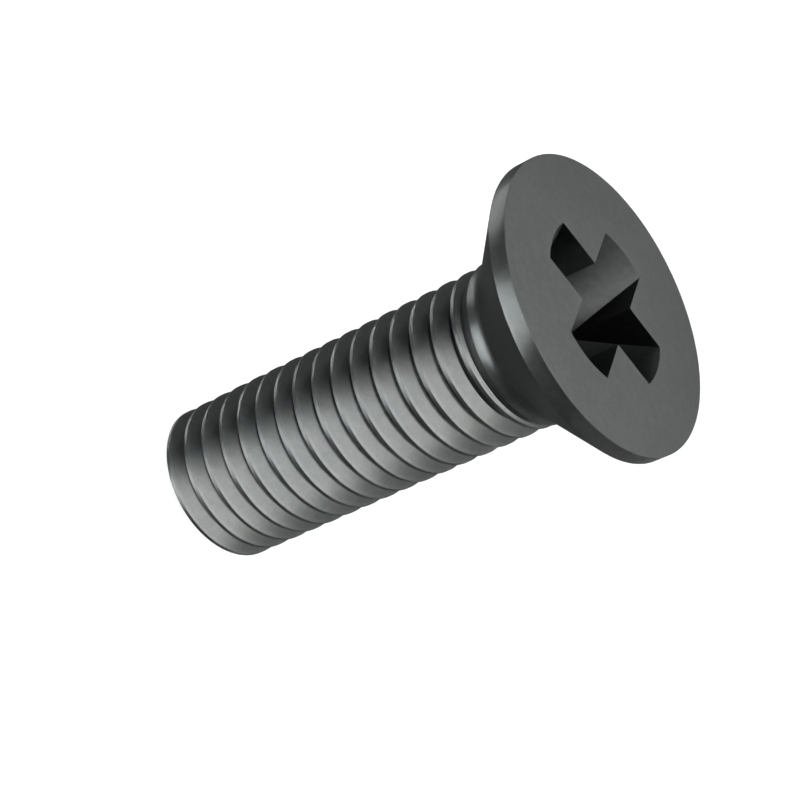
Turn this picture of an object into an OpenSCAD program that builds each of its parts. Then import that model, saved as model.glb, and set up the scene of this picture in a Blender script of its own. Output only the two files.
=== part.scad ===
// Countersunk machine screw, M10 x 30, coarse thread, cross recess.
// It stands on its end: the end is at z = 0 and the flat face is at z = length.

/* [Head] */
// Diameter of the head at its flat face
head_d = 18; // [17.5:0.1:19.5]
// Height of the straight rim under the face
rim_h = 1.05; // [0.6:0.05:1.5]
// Full angle of the countersunk cone
cone_angle = 90; // [80:1:100]
// Radius of the fillet between the cone and the neck
neck_fillet_r = 1.2; // [0.6:0.1:1.6]

/* [Cross recess] */
// Diameter over two opposite wings at the face
recess_d = 10.1; // [9:0.1:11]
// Width of each wing
wing_w = 3.44; // [2.8:0.02:3.6]
// Depth from the face to the end of the wings
recess_depth = 5.5; // [4.5:0.1:5.8]
// Angle between the end of a wing and the axis
wing_end_angle = 30; // [24:0.5:32]
// Full angle of the cone at the bottom
recess_tip_angle = 153; // [120:1:160]

/* [Neck] */
// Diameter of the plain neck, a hair over the crests
neck_d = 10; // [9.88:0.02:10.1]
// Length of the plain neck between the fillet and the run-out
neck_l = 0.28; // [0.1:0.02:2]
// Angle between the axis and the cone on which the thread runs out
run_out_angle = 26; // [15:1:40]

/* [Thread] */
// Length over all, from the flat face to the end
length = 30; // [16:1:36]
// Diameter over the crests
thread_d = 9.87; // [9.75:0.01:9.87]
// Distance from one crest to the next
pitch = 1.5; // [1.25:0.05:1.75]
// Full angle between the flanks of the groove
flank_angle = 60; // [55:1:65]
// Width of the flat on a crest
crest_w = 0.23; // [0.15:0.01:0.4]
// Radius at the bottom of the groove
root_r = 0.19; // [0.12:0.01:0.25]
// Angle by which the thread is turned round the axis
thread_turn = 83; // [0:1:359]

/* [Hidden] */
steel = [0.42, 0.43, 0.43];
lap = 0.3;
round_steps = 120;

// Head
cone_h = (head_d - neck_d) / 2 / tan(cone_angle / 2);
cone_foot = length - rim_h - cone_h;
// Along each side of the corner, from the corner to where the fillet starts
fillet_run = neck_fillet_r * tan(cone_angle / 4);

// Cone on which the thread runs out, from the neck to below the bottom of the groove
run_out_top = cone_foot - fillet_run - neck_l;

// Groove
half_flank = flank_angle / 2;
groove_w = pitch - crest_w;
sharp_depth = groove_w / 2 / tan(half_flank);
root_centre = thread_d / 2 - sharp_depth + root_r / sin(half_flank);
root_floor = root_centre - root_r;
core_r = root_floor - lap;
core_z = run_out_top - (neck_d / 2 - core_r) / tan(run_out_angle);

// One pitch of the thread, upwards from the lower edge of a crest: [height, radius]
root_steps = 3;
root_sweep = 90 - half_flank;
thread_profile = concat(
    [[0, thread_d / 2], [crest_w, thread_d / 2]],
    [
        for (s = [0 : root_steps])
            let (t = root_sweep * (2 * s / root_steps - 1))
            [crest_w + groove_w / 2 + root_r * sin(t), root_centre - root_r * cos(t)]
    ],
    [[pitch, thread_d / 2]]
);
line_count = len(thread_profile) - 1;
turn_steps = 48;
// A line that passes this close to an end of the rod is drawn onto that end
end_snap = 0.02;

function line_height(line, step) =
    thread_profile[line % line_count][0]
    + pitch * (floor(line / line_count) + step / turn_steps + thread_turn / 360 - 3);
function wrapped(h) = h - pitch * floor(h / pitch);
function surface_r(height, step) =
    lookup(wrapped(height - line_height(0, step)), thread_profile);
function on_turn(r, step, z) =
    [r * cos(360 * step / turn_steps), r * sin(360 * step / turn_steps), z];

// Rod with a right-hand thread cut all along it, flat at z = 0 and z = h
module threaded_rod(h) {
    lines = line_count * ceil(h / pitch + 4);
    body = [
        for (line = [0 : lines + line_count], step = [0 : turn_steps - 1])
            on_turn(thread_profile[line % line_count][1], step, line_height(line, step))
    ];
    ends = [
        for (z = [0, h], step = [0 : turn_steps - 1])
            on_turn(surface_r(z, step), step, z)
    ];
    function point(line, step) =
        step == turn_steps ? point(line + line_count, 0)
        : line_height(line, step) < end_snap ? len(body) + step
        : line_height(line, step) > h - end_snap ? len(body) + turn_steps + step
        : line * turn_steps + step;
    function whole(f) = f[0] != f[1] && f[1] != f[2] && f[2] != f[0];
    sides = [
        for (line = [0 : lines - 1], step = [0 : turn_steps - 1])
            let (
                a = point(line, step),
                b = point(line, step + 1),
                c = point(line + 1, step + 1),
                d = point(line + 1, step)
            )
            each [for (f = [[a, c, b], [a, d, c]]) if (whole(f)) f]
    ];
    foot = [for (step = [0 : turn_steps - 1]) len(body) + step];
    top = [for (step = [turn_steps - 1 : -1 : 0]) len(body) + turn_steps + step];
    polyhedron(concat(body, ends), concat(sides, [foot, top]));
}

// Half outline of the head, its fillet, the neck and the cone under it
module head_outline() {
    fillet_x = neck_d / 2 + neck_fillet_r;
    fillet_z = cone_foot - fillet_run;
    difference() {
        polygon([
            [0, core_z],
            [core_r, core_z],
            [neck_d / 2, run_out_top],
            [neck_d / 2, fillet_z],
            [
                neck_d / 2 + fillet_run * sin(cone_angle / 2),
                cone_foot + fillet_run * cos(cone_angle / 2)
            ],
            [head_d / 2, length - rim_h],
            [head_d / 2, length],
            [0, length]
        ]);
        translate([fillet_x, fillet_z])
            circle(r = neck_fillet_r, $fn = round_steps);
    }
}

module head() {
    rotate_extrude($fn = round_steps)
        head_outline();
}

module cross_recess() {
    wing_foot = length - recess_depth;
    foot_r = recess_d / 2 - recess_depth * tan(wing_end_angle);
    tip_h = foot_r / tan(recess_tip_angle / 2);
    intersection() {
        rotate_extrude($fn = round_steps)
            polygon([
                [0, wing_foot - tip_h],
                [foot_r, wing_foot],
                [recess_d / 2, length],
                [recess_d / 2 + lap * tan(wing_end_angle), length + lap],
                [0, length + lap]
            ]);
        for (turn = [0, 90])
            rotate(turn)
                translate([0, 0, length])
                    cube([2 * recess_d, wing_w, 4 * recess_depth], center = true);
    }
}

module screw() {
    color(steel)
        difference() {
            union() {
                head();
                threaded_rod(run_out_top + lap);
            }
            cross_recess();
        }
}

screw();
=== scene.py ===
import math

import bmesh
import bpy
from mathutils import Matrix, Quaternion, Vector


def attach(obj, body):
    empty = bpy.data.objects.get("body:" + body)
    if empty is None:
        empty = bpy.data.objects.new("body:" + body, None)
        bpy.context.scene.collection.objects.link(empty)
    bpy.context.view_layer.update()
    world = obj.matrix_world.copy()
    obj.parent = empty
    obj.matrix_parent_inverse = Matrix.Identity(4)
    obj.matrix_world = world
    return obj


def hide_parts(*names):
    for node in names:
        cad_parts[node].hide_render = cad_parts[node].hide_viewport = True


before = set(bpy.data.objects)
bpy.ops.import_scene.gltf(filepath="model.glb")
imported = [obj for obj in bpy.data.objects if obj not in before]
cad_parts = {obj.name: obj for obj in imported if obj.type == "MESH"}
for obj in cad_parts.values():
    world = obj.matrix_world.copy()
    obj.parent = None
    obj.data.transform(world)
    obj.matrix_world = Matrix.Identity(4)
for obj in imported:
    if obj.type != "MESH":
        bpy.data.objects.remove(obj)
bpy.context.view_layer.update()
scene = bpy.context.scene
mm = 0.001

# Camera
# A 100 mm lens looks down on the standing screw from the side of its head. It is rolled, so that
# the shank runs to the lower left of the picture as it does in the photograph.
camera_place = Vector((47.970, 97.652, 86.960)) * mm
camera_heading = math.radians(-116.161)
camera_tilt = math.radians(-33.489)
camera_roll = math.radians(64.992)

sight_line = Vector((
    math.cos(camera_tilt) * math.cos(camera_heading),
    math.cos(camera_tilt) * math.sin(camera_heading),
    math.sin(camera_tilt),
))
camera = bpy.data.objects.new("camera", bpy.data.cameras.new("camera"))
camera.data.sensor_width = 36
camera.data.lens = 100
camera.data.clip_start = 0.01
camera.data.clip_end = 10
camera.location = camera_place
camera.rotation_mode = "QUATERNION"
aim = sight_line.to_track_quat("-Z", "Y")
camera.rotation_quaternion = aim @ Quaternion((0, 0, 1), camera_roll)
scene.collection.objects.link(camera)
scene.camera = camera

# Head and neck
# The head is upset from the wire: a flat face, a straight rim, a cone of 90 degrees and a fillet
# into the plain neck. Below the neck a slim cone goes down inside the shank, and the thread runs
# out on it.
screw_l = 30.0 * mm
head_r = 9.0 * mm
rim_h = 1.05 * mm
rim_edge_r = 0.03 * mm
cone_angle = math.radians(90)
neck_r = 5.0 * mm
neck_l = 0.28 * mm
neck_fillet_r = 1.2 * mm
run_out_angle = math.radians(26)
run_out_foot_r = 3.7 * mm
lathe_steps = 288
fillet_steps = 16
edge_steps = 3
weld_gap = 0.001 * mm

fillet_run = neck_fillet_r * math.tan(cone_angle / 4)
cone_foot = screw_l - rim_h - (head_r - neck_r) / math.tan(cone_angle / 2)
run_out_top = cone_foot - fillet_run - neck_l
run_out_foot = run_out_top - (neck_r - run_out_foot_r) / math.tan(run_out_angle)


def profile_line(points):
    """An open line through points given as radius and height."""
    bm = bmesh.new()
    verts = [bm.verts.new((r, 0, z)) for r, z in points]
    for below, above in zip(verts, verts[1:]):
        bm.edges.new((below, above))
    bm.verts.ensure_lookup_table()
    return bm


def round_corner(bm, corner, run, steps):
    """Rounds a corner of the line, starting at run from it on both sides."""
    bmesh.ops.bevel(
        bm, geom=[corner], affect="VERTICES", offset_type="OFFSET", offset=run,
        segments=steps, profile=0.5, material=-1,
    )


def lathe(bm):
    """Turns the line in bm once round the Z axis into a closed skin that faces outwards."""
    bmesh.ops.spin(
        bm, geom=bm.verts[:] + bm.edges[:], cent=(0, 0, 0), axis=(0, 0, 1), dvec=(0, 0, 0),
        angle=math.tau, steps=lathe_steps, use_merge=True, use_duplicate=False,
    )
    bmesh.ops.remove_doubles(bm, verts=bm.verts[:], dist=weld_gap)
    bmesh.ops.recalc_face_normals(bm, faces=bm.faces[:])


def mesh_object(name, bm):
    """Makes an object of bm and frees bm."""
    mesh = bpy.data.meshes.new(name)
    bm.to_mesh(mesh)
    bm.free()
    made = bpy.data.objects.new(name, mesh)
    scene.collection.objects.link(made)
    return made


head_bm = profile_line([
    (0, run_out_foot),
    (run_out_foot_r, run_out_foot),
    (neck_r, run_out_top),
    (neck_r, cone_foot),
    (head_r, screw_l - rim_h),
    (head_r, screw_l),
    (0, screw_l),
])
neck_corner, cone_edge, face_edge = head_bm.verts[3], head_bm.verts[4], head_bm.verts[5]
round_corner(head_bm, neck_corner, fillet_run, fillet_steps)
round_corner(head_bm, cone_edge, rim_edge_r, edge_steps)
round_corner(head_bm, face_edge, rim_edge_r, edge_steps)
lathe(head_bm)
screw = mesh_object("screw_body", head_bm)

# Thread
# A right-hand coarse thread, rolled from the flat end up to the neck, with flat crests, flanks at
# 60 degrees and round roots. One turn is swept and stacked, and the stack is cut flat at each end.
pitch = 1.5 * mm
crest_r = 4.935 * mm
crest_w = 0.23 * mm
flank_angle = math.radians(60)
root_r = 0.19 * mm
# height of the middle of a crest over the X axis
thread_start = 0.46 * mm
thread_lap = 0.3 * mm
turns_below = 2
sweep_steps = 144
root_steps = 8
turn_weld_gap = 0.002 * mm
cut_gap = 0.0005 * mm

groove_depth = (pitch - crest_w) / 2 / math.tan(flank_angle / 2)
root_run = root_r / math.tan(flank_angle / 2)
thread_top = run_out_top + thread_lap
turn_count = math.ceil(thread_top / pitch) + turns_below + 1

thread_bm = profile_line([
    (crest_r, -crest_w / 2),
    (crest_r, crest_w / 2),
    (crest_r - groove_depth, pitch / 2),
    (crest_r, pitch - crest_w / 2),
])
root_corner = thread_bm.verts[2]
round_corner(thread_bm, root_corner, root_run, root_steps)
bmesh.ops.spin(
    thread_bm, geom=thread_bm.verts[:] + thread_bm.edges[:], cent=(0, 0, 0), axis=(0, 0, 1),
    dvec=(0, 0, pitch / sweep_steps), angle=math.tau, steps=sweep_steps, use_merge=False,
    use_duplicate=False,
)
one_turn = thread_bm.verts[:] + thread_bm.edges[:] + thread_bm.faces[:]
for turn in range(1, turn_count):
    copied = bmesh.ops.duplicate(thread_bm, geom=one_turn)["geom"]
    copied_verts = [part for part in copied if isinstance(part, bmesh.types.BMVert)]
    bmesh.ops.translate(thread_bm, verts=copied_verts, vec=(0, 0, turn * pitch))
bmesh.ops.remove_doubles(thread_bm, verts=thread_bm.verts[:], dist=turn_weld_gap)
stack_foot = thread_start - turns_below * pitch
bmesh.ops.translate(thread_bm, verts=thread_bm.verts[:], vec=(0, 0, stack_foot))
for cut_height, away in ((0, (0, 0, -1)), (thread_top, (0, 0, 1))):
    bmesh.ops.bisect_plane(
        thread_bm, geom=thread_bm.verts[:] + thread_bm.edges[:] + thread_bm.faces[:],
        plane_co=(0, 0, cut_height), plane_no=away, clear_outer=True, dist=cut_gap,
    )
open_ends = [edge for edge in thread_bm.edges if edge.is_boundary]
bmesh.ops.holes_fill(thread_bm, edges=open_ends, sides=0)
bmesh.ops.recalc_face_normals(thread_bm, faces=thread_bm.faces[:])
thread = mesh_object("thread", thread_bm)

# Cross recess
# A number 4 cross, punched into the face: four straight wings whose ends lean in at 30 degrees,
# and a blunt conical bottom. It is cut with a turned punch, of which only what a cross of bars
# covers is kept.
recess_r = 5.05 * mm
recess_depth = 5.5 * mm
wing_w = 3.44 * mm
wing_end_angle = math.radians(30)
tip_angle = math.radians(153)
punch_lead = 1.0 * mm
# the bars of the cross reach well past the punch
bar_l = 4 * recess_r
bar_h = 4 * recess_depth
skin_weld_gap = 0.0005 * mm
sliver = 0.0002 * mm
sharp_angle = math.radians(18)

wing_lean = math.tan(wing_end_angle)
tip_slope = 1 / math.tan(tip_angle / 2)
# the slanting wing end and the blunt bottom meet on this radius
bottom_r = (recess_r - recess_depth * wing_lean) / (1 - wing_lean * tip_slope)
bottom_z = screw_l - recess_depth + bottom_r * tip_slope

punch_bm = profile_line([
    (0, screw_l - recess_depth),
    (bottom_r, bottom_z),
    (recess_r + punch_lead * wing_lean, screw_l + punch_lead),
    (0, screw_l + punch_lead),
])
lathe(punch_bm)
punch = mesh_object("punch", punch_bm)

cross_bm = bmesh.new()
for length_x, length_y in ((bar_l, wing_w), (wing_w, bar_l)):
    bar = bmesh.ops.create_cube(cross_bm, size=1)["verts"]
    bmesh.ops.scale(cross_bm, verts=bar, vec=(length_x, length_y, bar_h))
    bmesh.ops.translate(cross_bm, verts=bar, vec=(0, 0, screw_l))
cross = mesh_object("cross", cross_bm)


def carve(piece, tool, operation, self_crossing=False):
    """Joins, keeps or cuts away what tool covers, and removes the tool."""
    step = piece.modifiers.new(operation, "BOOLEAN")
    step.object = tool
    step.operation = operation
    step.solver = "EXACT"
    step.use_self = self_crossing
    bpy.context.view_layer.update()
    worked_on = piece.evaluated_get(bpy.context.evaluated_depsgraph_get())
    carved = bpy.data.meshes.new_from_object(worked_on)
    piece.modifiers.clear()
    piece.data = carved
    bpy.data.objects.remove(tool)


carve(punch, cross, "INTERSECT", self_crossing=True)
carve(screw, thread, "UNION")
carve(screw, punch, "DIFFERENCE")

screw.data.name = "screw_body"
screw_bm = bmesh.new()
screw_bm.from_mesh(screw.data)
bmesh.ops.remove_doubles(screw_bm, verts=screw_bm.verts[:], dist=skin_weld_gap)
bmesh.ops.dissolve_degenerate(screw_bm, dist=sliver, edges=screw_bm.edges[:])
screw_bm.to_mesh(screw.data)
screw_bm.free()
screw.data.shade_smooth()
screw.data.set_sharp_from_angle(angle=sharp_angle)

# Steel finish
# Plain carbon steel with a thin black oxide finish, grey where the light catches it. It is faintly
# mottled, with painted shade in the thread roots and in the recess, and the flanks are a little
# lighter in a band just under the crests.
cool_grey = (0.192, 0.2, 0.2005)
warm_grey = (0.197, 0.2, 0.1985)
brightest = 1.4
cloud_size = 6.0 * mm
blotch_size = 0.45 * mm
grain_size = 0.16 * mm
rolled_line_gap = 0.07 * mm
cloud_tone = 0.02
blotch_tone = 0.36
grain_tone = 0.1
rolled_line_tone = 0.06
mottle_detail = 3.0
grain_detail = 1.0
rolled_line_detail = 2.0
noise_falloff = 0.6
noise_middle = 0.5
cool_cloud = -0.15
warm_cloud = 0.15

# painted shade darkens the thread roots, fully inside the first radius and fading out by the second
root_shade_full_r = 4.05 * mm
root_shade_end_r = 4.17 * mm
root_shade_tone = 0.78
# the flanks are a little lighter in a band just under the crests, fading out on the crest itself
crest_band_start_r = 4.7 * mm
crest_band_full_r = 4.86 * mm
crest_band_fade_r = 4.89 * mm
crest_band_tone = 0.14
# painted shade inside the cross recess
recess_shade_tone = 0.14
recess_margin = 0.1 * mm
face_margin = 0.02 * mm

mean_rough = 0.3
cloud_rough = 0.02
blotch_rough = 0.05
bump_height = 0.001 * mm
grain_bump = 0.4


class Shade:
    """A socket in a node tree: sums, differences and products of shades add their Math nodes."""

    def __init__(self, tree, socket=None):
        self.tree = tree
        self.socket = socket

    def node(self, kind, settings, sockets, output=0):
        """Adds any node: its settings first, then the values or links of its sockets."""
        made = self.tree.nodes.new(kind)
        for setting, value in settings.items():
            setattr(made, setting, value)
        for socket, value in sockets.items():
            if isinstance(value, Shade):
                self.tree.links.new(value.socket, made.inputs[socket])
            else:
                made.inputs[socket].default_value = value
        return Shade(self.tree, made.outputs[output])

    def maths(self, operation, first, second):
        return self.node("ShaderNodeMath", {"operation": operation}, {0: first, 1: second})

    def __add__(self, other):
        return self.maths("ADD", self, other)

    def __radd__(self, other):
        return self.maths("ADD", other, self)

    def __sub__(self, other):
        return self.maths("SUBTRACT", self, other)

    def __mul__(self, other):
        return self.maths("MULTIPLY", self, other)

    def __rmul__(self, other):
        return self.maths("MULTIPLY", other, self)

    def __lt__(self, other):
        return self.maths("LESS_THAN", self, other)

    def ramp(self, low, high, at_low=0.0, at_high=1.0):
        """Goes smoothly from at_low, where the shade is low, to at_high, where it is high."""
        return self.node(
            "ShaderNodeMapRange", {"interpolation_type": "SMOOTHSTEP"},
            {"Value": self, "From Min": low, "From Max": high, "To Min": at_low, "To Max": at_high},
        )


steel = bpy.data.materials.new("dark_steel")
steel.use_nodes = True
steel_shader = steel.node_tree.nodes["Principled BSDF"]
steel_shader.inputs["Metallic"].default_value = 1.0

paint = Shade(steel.node_tree)
place = paint.node("ShaderNodeTexCoord", {}, {}, "Object")
height = paint.node("ShaderNodeSeparateXYZ", {}, {"Vector": place}, "Z")
flat_place = paint.node(
    "ShaderNodeVectorMath", {"operation": "MULTIPLY"}, {0: place, 1: (1, 1, 0)},
)
radius = paint.node("ShaderNodeVectorMath", {"operation": "LENGTH"}, {0: flat_place}, "Value")


def mottle(size, detail=mottle_detail):
    """Soft blotches of about this size, even round nought and half a unit each way."""
    noise = paint.node(
        "ShaderNodeTexNoise", {"noise_dimensions": "3D"},
        {"Vector": place, "Scale": 1 / size, "Detail": detail, "Roughness": noise_falloff},
    )
    return noise - noise_middle


def mix(amount, first, second, blend="MIX"):
    """Mixes two colours, which go into sockets 6 and 7 of the Mix node and come out at 2."""
    return paint.node(
        "ShaderNodeMix", {"data_type": "RGBA", "blend_type": blend},
        {0: amount, 6: first, 7: second}, 2,
    )


clouds = mottle(cloud_size)
blotches = mottle(blotch_size)
grain = mottle(grain_size, grain_detail)
rolled_lines = paint.node(
    "ShaderNodeTexNoise", {"noise_dimensions": "1D"},
    {"W": radius * (1 / rolled_line_gap), "Detail": rolled_line_detail},
) - noise_middle

on_thread = height < run_out_top
# painted shade in the thread roots, on the thread only
painted_root_shade = on_thread * radius.ramp(root_shade_full_r, root_shade_end_r, 1.0, 0.0)
# a lighter band just under the crests, on the thread only
near_crest = radius.ramp(crest_band_start_r, crest_band_full_r) * radius.ramp(crest_band_fade_r, crest_r, 1.0, 0.0)
crest_band = on_thread * near_crest
# painted shade inside the recess: below the face and within the wings
below_face = height < screw_l - face_margin
within_wings = radius - (height - screw_l) * wing_lean < recess_r + recess_margin
in_recess = below_face * within_wings

tone = (
    1 + cloud_tone * clouds + blotch_tone * blotches + grain_tone * grain
    + rolled_line_tone * on_thread * rolled_lines
    + crest_band_tone * crest_band - root_shade_tone * painted_root_shade - recess_shade_tone * in_recess
)
grey = mix(clouds.ramp(cool_cloud, warm_cloud), (*cool_grey, 1), (*warm_grey, 1))
bright_grey = mix(1.0, grey, (brightest, brightest, brightest, 1), "MULTIPLY")
# a tone of 1 is the plain grey and the brightest tone is bright_grey
finish = mix(tone * (1 / brightest), (0, 0, 0, 1), bright_grey)
rough = mean_rough + cloud_rough * clouds + blotch_rough * blotches
surface = paint.node(
    "ShaderNodeBump", {},
    {"Strength": 1.0, "Distance": bump_height, "Height": blotches + grain_bump * grain},
)
for socket, value in (("Base Color", finish), ("Roughness", rough), ("Normal", surface)):
    steel.node_tree.links.new(value.socket, steel_shader.inputs[socket])

screw.data.materials.clear()
screw.data.materials.append(steel)

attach(screw, "root")
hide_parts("screw")

# Floor
# A wide floor that renders white. Part of that is its own glow, so that it stays white round the
# screw. It throws no shadow, so that the low lamps reach the screw through it.
floor_reach = 3.0
floor_grey = (0.3, 0.3, 0.3, 1)
floor_shine = 0.75


def matt_glow(name, colour, glow, shine):
    """A matt finish that also gives off light of its own, as strong as shine says."""
    made = bpy.data.materials.new(name)
    made.use_nodes = True
    shader = made.node_tree.nodes["Principled BSDF"]
    shader.inputs["Base Color"].default_value = colour
    shader.inputs["Roughness"].default_value = 1.0
    shader.inputs["Specular IOR Level"].default_value = 0.0
    shader.inputs["Emission Color"].default_value = glow
    shader.inputs["Emission Strength"].default_value = shine
    return made


floor_bm = bmesh.new()
bmesh.ops.create_grid(floor_bm, x_segments=1, y_segments=1, size=floor_reach)
floor = mesh_object("floor", floor_bm)
floor.visible_shadow = False
floor.data.materials.append(matt_glow("white_floor", floor_grey, (1, 1, 1, 1), floor_shine))

# Black flags
# A black card under the screw and a black tent over it keep the white studio out of the metal, as
# flags do round polished ware. Only the metal sees them.
studio_r = 1.2
card_gap = 0.05 * mm
card_steps = 96
tent_steps = 48
tent_rings = 24
cloth_black = (0, 0, 0, 1)
cloth_tint = (0.93, 1, 0.97, 1)
card_shine = 0.068
tent_shine = 0.15


def black_cloth(name, bm, shine):
    """Cloth that only the metal sees, with the little light that a black one still gives back."""
    cloth = mesh_object(name, bm)
    cloth.visible_camera = False
    cloth.visible_diffuse = False
    cloth.visible_transmission = False
    cloth.visible_volume_scatter = False
    cloth.visible_shadow = False
    cloth.data.materials.append(matt_glow(name, cloth_black, cloth_tint, shine))


card_bm = bmesh.new()
bmesh.ops.create_circle(card_bm, cap_ends=True, segments=card_steps, radius=studio_r)
bmesh.ops.translate(card_bm, verts=card_bm.verts[:], vec=(0, 0, card_gap))
black_cloth("black_card", card_bm, card_shine)

tent_bm = bmesh.new()
bmesh.ops.create_uvsphere(
    tent_bm, u_segments=tent_steps, v_segments=tent_rings, radius=studio_r,
)
black_cloth("black_tent", tent_bm, tent_shine)

# Lamps
# Large soft lamps a metre away, named by where they stand or by what they light. The low ones
# shine up through the floor, and their light on the metal shows the cone, the rim and the crests.
lamp_distance = 1.0
white = (1, 1, 1)
warm_white = (1, 0.99, 0.985)
green_white = (0.95, 1, 0.98)
cool_white = (0.955, 1, 1)
screw_middle = Vector((0, 0, screw_l / 2))


def softbox(
    name, azimuth, elevation, across, upright, radiance,
    shape="ELLIPSE", shadow=False, bounces=0, colour=white,
):
    """A lamp that covers across by upright degrees of what the screw sees."""
    lamp = bpy.data.objects.new(name, bpy.data.lights.new(name, "AREA"))
    lamp.data.shape = shape
    lamp.data.size = 2 * lamp_distance * math.tan(math.radians(across / 2))
    lamp.data.size_y = 2 * lamp_distance * math.tan(math.radians(upright / 2))
    area = lamp.data.size * lamp.data.size_y * (math.pi / 4 if shape == "ELLIPSE" else 1)
    lamp.data.energy = radiance * math.pi * area
    lamp.data.color = colour
    lamp.data.use_shadow = shadow
    lamp.data.cycles.use_multiple_importance_sampling = False
    lamp.data.cycles.max_bounces = bounces
    azimuth, elevation = math.radians(azimuth), math.radians(elevation)
    away = Vector((
        math.cos(elevation) * math.cos(azimuth),
        math.cos(elevation) * math.sin(azimuth),
        math.sin(elevation),
    ))
    lamp.location = screw_middle + away * lamp_distance
    lamp.rotation_mode = "QUATERNION"
    lamp.rotation_quaternion = (-away).to_track_quat("-Z", "Y")
    scene.collection.objects.link(lamp)


# name, azimuth, elevation, across and upright in degrees, and radiance
softbox("key", 112, 75.5, 60, 60, 1.26, colour=warm_white)
softbox("key_edge", 112, 75.5, 88, 88, 0.62, colour=green_white)
softbox("face_fill", -138, 24, 76, 76, 0.21, bounces=1)
softbox("face_top", -122, 47, 70, 44, 0.24, bounces=1)
softbox("recess_fill", 76, 31, 26, 23, 0.4, shadow=True, bounces=1)
softbox("left", 42, -38, 38, 64, 1.7, shape="RECTANGLE", shadow=True, colour=cool_white)
softbox("left_low", 43, -50, 32, 26, 0.95, shadow=True, colour=cool_white)
softbox("back_left", -41.5, -29, 38, 40, 1.0, shadow=True)
softbox("right_low", 176, -24, 106, 44, 0.13, shadow=True)
softbox("between", 2, -38, 34, 50, 0.06, shadow=True)
softbox("left_tail", 94, -31, 42, 34, 0.065, shadow=True)
softbox("under", -118, -64, 30, 26, 0.03)

# one more lamp whitens the floor from above and isn't seen in the metal
floor_lamp_place = Vector((-0.2, 0.35, 1.0))
floor_lamp_w = 1.2
floor_lamp_watts = 3.2

floor_lamp = bpy.data.objects.new("floor_lamp", bpy.data.lights.new("floor_lamp", "AREA"))
floor_lamp.data.shape = "DISK"
floor_lamp.data.size = floor_lamp_w
floor_lamp.data.energy = floor_lamp_watts
floor_lamp.location = floor_lamp_place
floor_lamp.rotation_mode = "QUATERNION"
floor_lamp.rotation_quaternion = (-floor_lamp_place).to_track_quat("-Z", "Y")
floor_lamp.visible_glossy = False
scene.collection.objects.link(floor_lamp)

# World
# White all round. The camera, metal and glass see it at full white, and it lights the rest more
# softly.
soft_level = 0.6
scene.world = bpy.data.worlds.new("studio")
scene.world.use_nodes = True
sky = Shade(scene.world.node_tree)
seen = (
    sky.node("ShaderNodeLightPath", {}, {}, "Is Camera Ray")
    + sky.node("ShaderNodeLightPath", {}, {}, "Is Glossy Ray")
    + sky.node("ShaderNodeLightPath", {}, {}, "Is Transmission Ray")
)
level = soft_level + (1 - soft_level) * seen
background = scene.world.node_tree.nodes["Background"]
background.inputs["Color"].default_value = (1, 1, 1, 1)
scene.world.node_tree.links.new(level.socket, background.inputs["Strength"])

scene.view_settings.view_transform = "Standard"
